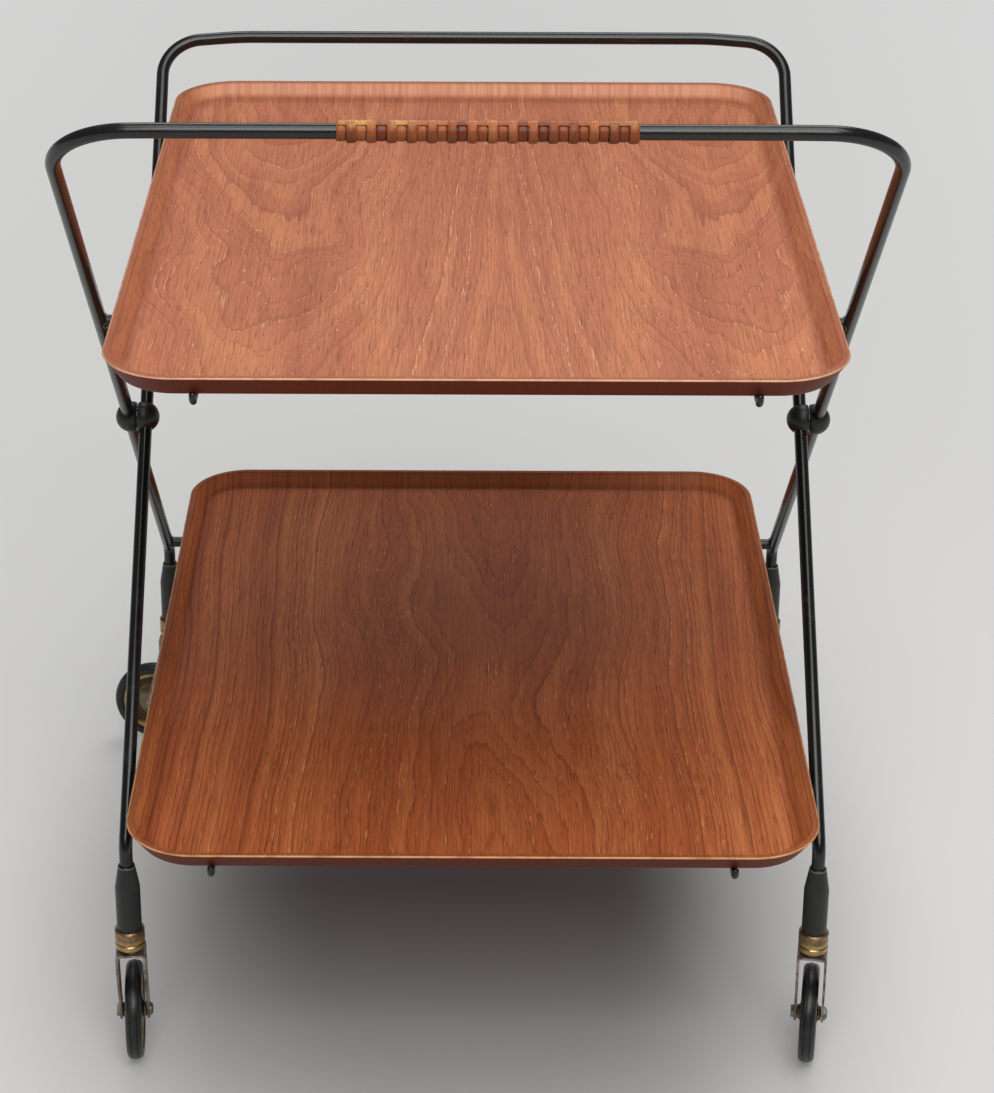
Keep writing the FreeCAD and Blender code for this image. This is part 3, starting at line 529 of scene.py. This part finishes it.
def with_wall(made, figure, colour, local, out):
    """The wall: painted shade in the crease at its foot, veneer a little lighter above it and paler where it
    faces the front, both painted sheen, and painted shade on every face that looks downwards.
    """
    # painted shade in the crease along the wall's foot
    crease = made.unsigned(made.less(out, WALL_FOOT))
    colour = made.mix(made.band(crease, 0.0, CREASE_SHADE_HALF, 0.32, 0.0), colour, figure["line"])
    # painted sheen: the wall a little lighter than the tray's floor
    wall = made.band(out, WALL_FOOT + WALL_FADE[0], WALL_FOOT + WALL_FADE[1])
    colour = made.mix(made.times(wall, 0.2), colour, figure["light"])
    _, facing_y, facing_z = made.normal()
    # painted sheen on the walls that face the front, broken by streaks
    streaks = made.band(made.noise((260, 9, 9), local, detail=3, roughness=0.7), 0.36, 0.62, 0.55, 1.0)
    to_front = made.band(facing_y, -0.75, -0.2, figure["wall_sheen"], 0.0)
    colour = made.mix(made.times(made.times(wall, to_front), streaks), colour, WALL_SHEEN_COLOUR)
    # painted shade on every face that looks downwards: the outer walls and the underside
    return made.mix(made.band(facing_z, -0.25, 0.0, 0.97, 0.0), colour, SHADED_UNDERSIDE)


def with_rim(made, figure, colour, local, z, rim_top, out):
    """The rim's flat top, with a broken line of pale ply along its outer edge."""
    on_rim = made.band(z, rim_top - RIM_FADE[0], rim_top - RIM_FADE[1])
    colour = made.mix(made.times(on_rim, 0.4), colour, figure["line"])
    edge = made.times(on_rim, made.band(out, TRAY_CORNER - PLY_FADE[0], TRAY_CORNER - PLY_FADE[1]))
    broken = made.band(made.noise((60, 60, 1), local, detail=3), 0.35, 0.6, 0.35, 0.8)
    return made.mix(made.times(edge, broken), colour, figure["fleck"])


def teak_veneer(name, tray, figure):
    """Pressed teak: arched growth lines combed by the fibres, pores, a darker middle with small marks,
    painted shade and sheen on the walls, and a ply edge.
    """
    low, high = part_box(tray)
    centre = (low + high) / 2
    half_x, half_y = (high.x - low.x) / 2, (high.y - low.y) / 2
    made = Finish(name)
    local = made.mapped(location=(-centre.x, -centre.y, -low.z))
    x, y, z = made.split(local)
    from_mirror = made.less(x, figure["mirror"])
    if figure["apart"]:
        from_mirror = made.unsigned(from_mirror)
    across, reach, rings = growth_rings(made, figure, local, from_mirror, y)
    part_way = made.math("FRACT", rings)
    ring_tone = made.own(rings)
    ring_flecks = made.own(made.math("ADD", rings, 50.0))
    group = made.noise((34, 1, 1), made.joined(reach, 7.0), detail=1)

    # broad streaks along the grain, a tone for each growth ring, dark late wood
    broad = made.noise((17, 1.3, 1), made.joined(from_mirror, y), detail=4, roughness=0.6)
    tone = made.line(group, 0.20, made.line(ring_tone, 0.16, made.times(broad, 0.74)))
    colour = made.ramp(tone, (0.34, figure["dark"]), (0.55, figure["base"]), (0.78, figure["light"]))
    late = made.times(made.band(part_way, 0.62, 1.0), made.band(ring_tone, 0.25, 1.0, 0.75, 0.1))
    colour = made.mix(made.times(late, figure["late"]), colour, figure["line"])
    if figure["heart"]:
        heart = made.band(made.unsigned(across), 0.07, 0.17, figure["heart"], 0.0)
        colour = made.mix(heart, colour, figure["dark"])

    seam = made.times(made.band(part_way, 0.0, 0.22, 1.0, 0.0), made.band(ring_flecks, 0.2, 0.6))
    colour, relief = with_pores(made, figure, colour, local, seam, group)
    if figure["darkening"]:
        colour = with_dark_middle_and_marks(made, figure, colour, local, x, y)

    # how far out a point lies from the line through the corners' centres
    past_x = made.math("MAXIMUM", made.less(made.unsigned(x), half_x - TRAY_CORNER), 0.0)
    past_y = made.math("MAXIMUM", made.less(made.unsigned(y), half_y - TRAY_CORNER), 0.0)
    out = made.length(past_x, past_y)
    colour = with_wall(made, figure, colour, local, out)
    colour = with_rim(made, figure, colour, local, z, high.z - low.z, out)

    made.bump(relief, 0.00006, 0.4)
    sheen = made.line(made.noise((14, 9, 1), local, detail=4), 0.16, figure["roughness"])
    return made.set(Base_Color=colour, Roughness=sheen, Specular_IOR_Level=0.20)


# ---- Dressing -----------------------------------------------------------------------

lacquer = black_lacquer()
moulding = black_moulding("black_moulding")
rubber = tyre_rubber()
zinc = zinc_steel()
steel = fork_steel()

# finishes by words in the nodes' names, first match first
FINISHES = (
    (lacquer, ("frame", "crossbar", "runner", "hooks", "pegs", "washers")),
    (moulding, ("ball",)),
    (zinc, ("screw", "nut", "stem_front", "stem_rear", "bolt")),
)


def dress(node, finish):
    slots = nodes[node].data.materials
    for index in range(len(slots)):
        slots[index] = finish
    if not slots:
        slots.append(finish)


for node in nodes:
    for finish, words in FINISHES:
        if any(word in node for word in words):
            dress(node, finish)
            break
dress("upper_tray", teak_veneer("upper_teak", "upper_tray", UPPER_FIGURE))
dress("lower_tray", teak_veneer("lower_teak", "lower_tray", LOWER_FIGURE))
for corner in CORNERS:
    sleeve_low, sleeve_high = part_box("leg_sleeve_" + corner)
    dress("leg_sleeve_" + corner, black_moulding("sleeve_" + corner, sleeve_high.z - RING_DOWN))
    collar_low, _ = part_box("stem_collar_" + corner)
    dress("stem_collar_" + corner, collar_brass("collar_" + corner, collar_low.z, sleeve_low.z))
    dress("caster_fork_" + corner, steel)

# ---- Geometry helpers ---------------------------------------------------------------


class Tree:
    """A geometry node tree while it is made. Its inputs are named, each with a kind and a first value."""

    def __init__(self, name, **inputs):
        self.tree = bpy.data.node_groups.new(name, "GeometryNodeTree")
        self.tree.interface.new_socket("Geometry", in_out="INPUT", socket_type="NodeSocketGeometry")
        self.identifiers = {}
        for label, (kind, value) in inputs.items():
            socket = self.tree.interface.new_socket(label, in_out="INPUT", socket_type="NodeSocket" + kind)
            socket.default_value = value
            self.identifiers[label] = socket.identifier
        self.tree.interface.new_socket("Geometry", in_out="OUTPUT", socket_type="NodeSocketGeometry")
        self.entry = self.tree.nodes.new("NodeGroupInput")
        self.exit = self.tree.nodes.new("NodeGroupOutput")

    def node(self, kind, inputs=None, **properties):
        made = self.tree.nodes.new(kind)
        for key, value in properties.items():
            setattr(made, key, value)
        for key, value in (inputs or {}).items():
            if isinstance(value, bpy.types.NodeSocket):
                self.tree.links.new(value, made.inputs[key])
            else:
                made.inputs[key].default_value = value
        return made

    def math(self, operation, a, b):
        return self.node("ShaderNodeMath", {0: a, 1: b}, operation=operation).outputs[0]

    def vector(self, operation, a, b=(0, 0, 0)):
        key = "Scale" if operation == "SCALE" else 1
        made = self.node("ShaderNodeVectorMath", {0: a, key: b}, operation=operation)
        return made.outputs["Value" if operation == "LENGTH" else "Vector"]

    def circle(self, radius, sides):
        made = self.node("GeometryNodeCurvePrimitiveCircle", {"Resolution": sides, "Radius": radius})
        return made.outputs[0]

    def swept(self, path, profile, caps=False):
        made = self.node("GeometryNodeCurveToMesh", {"Curve": path, "Profile Curve": profile,
                                                     "Fill Caps": caps})
        return made.outputs[0]

    def close(self, geometry, finish):
        real = self.node("GeometryNodeRealizeInstances", {0: geometry})
        dressed = self.node("GeometryNodeSetMaterial", {"Geometry": real.outputs[0], "Material": finish})
        self.tree.links.new(dressed.outputs[0], self.exit.inputs[0])

    def grown(self, name, seed_mesh, **values):
        """The plain mesh object that the tree makes from a seed mesh."""
        seed = in_scene(name + "_seed", seed_mesh)
        modifier = seed.modifiers.new("grow", "NODES")
        modifier.node_group = self.tree
        for label, value in values.items():
            modifier[self.identifiers[label]] = value
        mesh = evaluated_mesh(seed)
        bpy.data.objects.remove(seed)
        return shown(name, mesh)


def evaluated_mesh(thing):
    bpy.context.view_layer.update()
    return bpy.data.meshes.new_from_object(thing.evaluated_get(bpy.context.evaluated_depsgraph_get()))


def shown(name, mesh, crisp=None):
    """A smooth object of a mesh, with crisp edges where faces meet at more than an angle in degrees."""
    piece = in_scene(name, mesh)
    for polygon in mesh.polygons:
        polygon.use_smooth = True
    if crisp:
        mesh.set_sharp_from_angle(angle=math.radians(crisp))
    return piece


def solid_mesh(name, corners, faces, finish):
    """A mesh of corners and faces, with doubles merged and all faces pointing outwards."""
    mesh = bpy.data.meshes.new(name)
    mesh.from_pydata([tuple(corner) for corner in corners], [], faces)
    work = bmesh.new()
    work.from_mesh(mesh)
    bmesh.ops.remove_doubles(work, verts=work.verts, dist=1e-7)
    bmesh.ops.recalc_face_normals(work, faces=work.faces)
    work.to_mesh(mesh)
    work.free()
    mesh.materials.append(finish)
    return mesh


def points_mesh(name, points, edges=()):
    mesh = bpy.data.meshes.new(name)
    mesh.from_pydata([tuple(point) for point in points], edges, [])
    return mesh


def hand_in(piece, replaced, body):
    """Hides the nodes that a piece stands for, and attaches the piece to the body it rides on."""
    if replaced:
        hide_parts(*replaced)
    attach(piece, body)


# ---- Frames -------------------------------------------------------------------------

BAR_RADIUS = 0.005
BAR_SIDES = 24
BEND_STEPS = 18
KNEE_HEIGHT = 0.195
KNEE_BEND = 0.020
SOFT_BEND = 0.30               # where the top bar starts to droop
PIVOT = Vector(joints["frame_fold"]["pos_m"])
# each frame: which way it leans, the bend of its top corners, the droop of its top bar's ends, and how long
# the drooping stretch is
FRAME_TOPS = {"hoop": (1, 0.033, 0.0055, 0.062), "handle": (-1, 0.054, 0.0015, 0.070)}


def bar_tree(finish):
    """A round bar along a path, bent at each point by that point's own radius."""
    tree = Tree("bent_bar", Radius=("Float", BAR_RADIUS), Steps=("Int", BEND_STEPS))
    entry = tree.entry.outputs
    path = tree.node("GeometryNodeMeshToCurve", {"Mesh": entry["Geometry"]})
    bend = tree.node("GeometryNodeInputNamedAttribute", {"Name": "bend"}, data_type="FLOAT")
    rounded = tree.node("GeometryNodeFilletCurve", {"Curve": path.outputs[0], "Count": entry["Steps"],
                                                    "Radius": bend.outputs[0]}, mode="POLY")
    profile = tree.circle(entry["Radius"], BAR_SIDES)
    tree.close(tree.swept(rounded.outputs[0], profile, caps=True), finish)
    return tree


def bent_frames():
    """Both frames' bars: leg, knee, leaning side, top corner and a top that droops a little to its ends."""
    tree = bar_tree(lacquer)
    for body, (side, bend, droop, stretch) in FRAME_TOPS.items():
        low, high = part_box(body + "_frame")
        inset = Vector((BAR_RADIUS, BAR_RADIUS, BAR_RADIUS))
        start, end = low + inset, high - inset
        knee_y, top_y = (start.y, end.y) if side > 0 else (end.y, start.y)
        lean = Vector((0, top_y - PIVOT.y, end.z - PIVOT.z)).normalized()
        top = Vector((0, top_y, end.z))
        shoulder = top - lean * droop
        right = [(Vector((end.x, knee_y, low.z)), 0.0),
                 (Vector((end.x, knee_y, KNEE_HEIGHT)), KNEE_BEND),
                 (Vector((end.x, shoulder.y, shoulder.z)), bend),
                 (Vector((end.x - stretch, top.y, top.z)), SOFT_BEND)]
        left = [(Vector((-point.x, point.y, point.z)), radius) for point, radius in reversed(right)]
        points, radii = zip(*(right + left))
        seed = points_mesh(body + "_path", points, [(i, i + 1) for i in range(len(points) - 1)])
        bends = seed.attributes.new("bend", "FLOAT", "POINT")
        bends.data.foreach_set("value", radii)
        bar = tree.grown(body + "_bar", seed, Radius=BAR_RADIUS, Steps=BEND_STEPS)
        hand_in(bar, [body + "_frame"], body)


# ---- Pieces turned on a lathe -------------------------------------------------------


def turned_mesh(name, outline, centre, axis, steps, finish):
    """A closed outline of (radius, place along the axis) turned about the axis; radius 0 is a pole."""
    axis = Vector(axis).normalized()
    first = axis.cross(Vector((0, 0, 1))).normalized()
    second = axis.cross(first)
    corners, rows = [], []
    for radius, along in outline:
        row = []
        for step in range(steps if radius > 0 else 1):
            turn = 2 * math.pi * step / steps
            spoke = first * math.cos(turn) + second * math.sin(turn)
            corners.append(Vector(centre) + axis * along + spoke * radius)
            row.append(len(corners) - 1)
        rows.append(row)
    faces = []
    for row, after in zip(rows, rows[1:] + rows[:1]):
        if len(row) == 1 and len(after) == 1:
            continue
        for step in range(steps):
            step_on = (step + 1) % steps
            face = [row[step % len(row)], row[step_on % len(row)],
                    after[step_on % len(after)], after[step % len(after)]]
            faces.append(list(dict.fromkeys(face)))
    return solid_mesh(name, corners, faces, finish)


def both_faces(half):
    """A whole section in metres from its half, in millimetres, on one side of the wheel."""
    return [(radius * MM, along * MM) for radius, along in half + [(r, -a) for r, a in reversed(half)]]


# (radius, distance from the wheel's middle plane) in millimetres
TYRE_HALF = [
    (29.2, 4.3), (29.6, 5.3), (30.6, 5.95), (32.4, 6.2), (34.2, 6.0), (35.5, 5.35), (36.4, 4.4),
    (36.9, 3.4), (37.1, 2.85), (36.55, 2.6), (36.55, 2.3), (37.2, 2.05), (37.45, 1.2), (37.5, 0.4),
]
HUB_HALF = [
    (3.05, 9.1), (5.1, 9.1), (5.5, 8.7), (5.7, 7.2), (7.0, 6.75), (9.5, 6.35), (12.0, 5.7),
    (14.2, 4.7), (15.8, 3.5), (16.9, 2.3), (18.2, 1.8), (21.5, 1.75), (23.6, 2.0), (24.7, 2.9),
    (25.5, 4.1), (26.4, 4.75), (27.6, 4.95), (28.7, 4.85), (29.25, 4.5), (29.3, 3.9),
]
TYRE_STEPS, TYRE_CRISP = 96, 50
HUB_STEPS, HUB_CRISP = 80, 38


def caster_wheels():
    """Each wheel's rubber tyre and its dished brass hub."""
    for corner in CORNERS:
        roll = joints["roll_" + corner]
        centre, axis = Vector(roll["pos_m"]), Vector(roll["axis"])
        body = "wheel_" + corner
        tyre = turned_mesh("tyre_" + corner, both_faces(TYRE_HALF), centre, axis, TYRE_STEPS, rubber)
        hand_in(shown("tyre_" + corner, tyre, TYRE_CRISP), ["wheel_tyre_" + corner], body)
        finish = hub_brass("hub_" + corner, centre, axis)
        hub = turned_mesh("hub_" + corner, both_faces(HUB_HALF), centre, axis, HUB_STEPS, finish)
        hand_in(shown("hub_" + corner, hub, HUB_CRISP), ["wheel_hub_" + corner], body)


# ---- Pivots -------------------------------------------------------------------------

BALL_RADIUS = 0.012
CAP_RADIUS = 0.00515
CAP_SEAT = 0.0104              # from a ball's centre out to the underside of the cap
CAP_STEPS, CAP_CRISP = 40, 35
DOME_STEPS = 6
SLOT_WIDTH = 0.0011
SLOT_DEPTH = 0.0007
SLOT_LENGTH = 0.014
SLOT_SPARE = 0.0002            # how far out of the cap the middle of the slot's cutter lies


def ball_cap(name, centre, outward, finish):
    """Round screw head that completes a half ball at its pole, with a screwdriver slot."""
    outline = [(0, CAP_SEAT), (CAP_RADIUS, CAP_SEAT)]
    rim = math.asin(CAP_RADIUS / BALL_RADIUS)
    for step in range(DOME_STEPS + 1):
        angle = rim * (1 - step / DOME_STEPS)
        outline.append((BALL_RADIUS * math.sin(angle), BALL_RADIUS * math.cos(angle)))
    head = in_scene(name + "_head", turned_mesh(name, outline, centre, (outward, 0, 0), CAP_STEPS, finish))
    groove_mesh = bpy.data.meshes.new(name + "_groove")
    middle = centre + Vector((outward * (BALL_RADIUS + SLOT_SPARE), 0, 0))
    work = bmesh.new()
    bmesh.ops.create_cube(work, size=1.0)
    bmesh.ops.scale(work, vec=(2 * (SLOT_DEPTH + SLOT_SPARE), SLOT_WIDTH, SLOT_LENGTH), verts=work.verts)
    bmesh.ops.translate(work, vec=middle, verts=work.verts)
    work.to_mesh(groove_mesh)
    work.free()
    groove = in_scene(name + "_groove", groove_mesh)
    cut = head.modifiers.new("slot", "BOOLEAN")
    cut.operation, cut.object, cut.solver = "DIFFERENCE", groove, "EXACT"
    mesh = evaluated_mesh(head)
    for part in (head, groove):
        bpy.data.objects.remove(part)
    return shown(name, mesh, CAP_CRISP)


def pivot_caps():
    """The slotted caps at the outer and inner poles of both pivots."""
    faced = math.sqrt(BALL_RADIUS ** 2 - CAP_RADIUS ** 2)
    for side, hand in (("left", -1), ("right", 1)):
        caps = (("pivot_cap_", "outer_pivot_ball_", "pivot_screw_" + side, hand),
                ("inner_pivot_cap_", "inner_pivot_ball_", "pivot_nuts", -hand))
        for name, ball, replaced, outward in caps:
            low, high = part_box(ball + side)
            pole = high.x if outward > 0 else low.x
            centre = Vector((pole - outward * faced, PIVOT.y, PIVOT.z))
            cap = ball_cap(name + side, centre, outward, moulding)
            hand_in(cap, [replaced], "hoop")


# ---- Grip and welds -----------------------------------------------------------------

GRIP_TURNS = 30
TURN_LEAN = 0.07               # radians
TURN_ASKEW = 0.03              # radians, either way
TURN_SIDES = (44, 14)          # round the bar, and round the strand
# turns over and under the laid strand: middle radius, width in pitches, thickness, first turn, random seed
GRIP_LEVELS = {"over": (0.00665, 1.02, 0.0016, 1, 3), "under": (0.0057, 0.96, 0.0012, 0, 8)}
STRAND_RADIUS, STRAND_THICKNESS, STRAND_END = 0.0067, 0.0009, 0.001
STRAND_UP, STRAND_SPREAD = math.radians(76), math.radians(50)
STRAND_ACROSS, STRAND_ALONG = 8, 120
SAG, SAG_TURN = 0.00018, 1.9   # the laid strand's unevenness, and its angle from step to step
BEAD_RADIUS, BEAD_WIDTH, BEAD_IN = 0.0047, 0.0022, 0.0013
BEAD_SIDES = (28, 10)


def flat_ring(tree, radius, width, thickness, sides):
    """A closed band round the X axis: a torus squeezed towards its middle radius."""
    profile = tree.circle(tree.math("MULTIPLY", width, 0.5), sides[1])
    swept = tree.swept(tree.circle(radius, sides[0]), profile)
    turned = tree.node("GeometryNodeTransform", {"Geometry": swept, "Rotation": (0, math.pi / 2, 0)})
    place = tree.node("GeometryNodeInputPosition").outputs[0]
    radial = tree.vector("MULTIPLY", place, (0, 1, 1))
    squeeze = tree.math("SUBTRACT", tree.math("DIVIDE", thickness, width), 1.0)
    moved = tree.math("MULTIPLY", tree.math("SUBTRACT", tree.vector("LENGTH", radial), radius), squeeze)
    offset = tree.vector("SCALE", tree.vector("NORMALIZE", radial), moved)
    squeezed = tree.node("GeometryNodeSetPosition", {"Geometry": turned.outputs[0], "Offset": offset})
    return squeezed.outputs[0]


def strand_tree(finish):
    """Turns of a flat strand on points along the bar, each a little askew. Each level gives its own sizes."""
    radius, _, thickness, _, seed = GRIP_LEVELS["over"]
    tree = Tree("strand_turns", Radius=("Float", radius), Width=("Float", radius),
                Thickness=("Float", thickness), Lean=("Float", 0.0), Seed=("Int", seed))
    entry = tree.entry.outputs
    ring = flat_ring(tree, entry["Radius"], entry["Width"], entry["Thickness"], TURN_SIDES)
    askew = tree.node("FunctionNodeRandomValue", {"Min": -TURN_ASKEW, "Max": TURN_ASKEW,
                                                  "Seed": entry["Seed"]}, data_type="FLOAT")
    lean = tree.math("ADD", entry["Lean"], [s for s in askew.outputs if s.enabled][0])
    spin = tree.node("ShaderNodeCombineXYZ", {2: lean})
    rotation = tree.node("FunctionNodeEulerToRotation", {0: spin.outputs[0]})
    placed = tree.node("GeometryNodeInstanceOnPoints", {"Points": entry["Geometry"], "Instance": ring,
                                                        "Rotation": rotation.outputs[0]})
    tree.close(placed.outputs[0], finish)
    return tree


def laid_strand(start, end, axis, finish):
    """Flat strand along the bar, curved round it."""
    corners, faces = [], []
    for step in range(STRAND_ALONG + 1):
        x = start + (end - start) * step / STRAND_ALONG
        sag = SAG * math.sin(step * SAG_TURN)
        for side in (1, -1):
            for column in range(STRAND_ACROSS + 1):
                share = column / STRAND_ACROSS if side > 0 else 1 - column / STRAND_ACROSS
                thinned = 1 - abs(2 * share - 1) ** 4
                angle = STRAND_UP + STRAND_SPREAD * (share - 0.5)
                radius = STRAND_RADIUS + sag + side * STRAND_THICKNESS / 2 * thinned
                corners.append((x, axis.y - math.cos(angle) * radius, axis.z + math.sin(angle) * radius))
    ring = 2 * (STRAND_ACROSS + 1)
    for step in range(STRAND_ALONG):
        for place in range(ring):
            a, b = step * ring + place, step * ring + (place + 1) % ring
            faces.append((a, b, b + ring, a + ring))
    faces.append(tuple(reversed(range(ring))))
    faces.append(tuple(STRAND_ALONG * ring + place for place in range(ring)))
    return shown("grip_laid_strand", solid_mesh("grip_laid_strand", corners, faces, finish))


def wound_grip():
    """Cane wound round the grip bar, every second turn tucked under a strand laid along the top."""
    low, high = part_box("handle_wrap")
    axis = (low + high) / 2
    pitch = (high.x - low.x) / GRIP_TURNS
    finish = cane("cane_winding", axis, pitch, low.x)
    tree = strand_tree(finish)
    pieces = []
    for level, (radius, width, thickness, first, seed) in GRIP_LEVELS.items():
        points = [(low.x + pitch * (turn + 0.5), axis.y, axis.z) for turn in range(first, GRIP_TURNS, 2)]
        pieces.append(tree.grown("grip_turns_" + level, points_mesh(level, points), Radius=radius,
                                 Width=pitch * width, Thickness=thickness, Lean=TURN_LEAN, Seed=seed))
    pieces.append(laid_strand(low.x + STRAND_END, high.x - STRAND_END, axis, finish))
    for piece in pieces:
        hand_in(piece, ["handle_wrap"], "handle")


def weld_fillets():
    """A small bead of weld round both ends of every cross bar."""
    tree = Tree("weld_beads", Radius=("Float", BEAD_RADIUS), Bead=("Float", BEAD_WIDTH))
    entry = tree.entry.outputs
    ring = flat_ring(tree, entry["Radius"], entry["Bead"], entry["Bead"], BEAD_SIDES)
    placed = tree.node("GeometryNodeInstanceOnPoints", {"Points": entry["Geometry"], "Instance": ring})
    tree.close(placed.outputs[0], lacquer)
    for body in ("hoop", "handle"):
        points = []
        for level in ("upper", "lower"):
            low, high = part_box("%s_%s_crossbar" % (body, level))
            for x, inward in ((low.x, 1), (high.x, -1)):
                points.append((x + inward * BEAD_IN, (low.y + high.y) / 2, (low.z + high.z) / 2))
        seed = points_mesh(body + "_welds", points)
        beads = tree.grown(body + "_weld_beads", seed, Radius=BEAD_RADIUS, Bead=BEAD_WIDTH)
        hand_in(beads, [], body)


bent_frames()
caster_wheels()
pivot_caps()
wound_grip()
weld_fillets()

bpy.context.scene.view_settings.view_transform = "Standard"
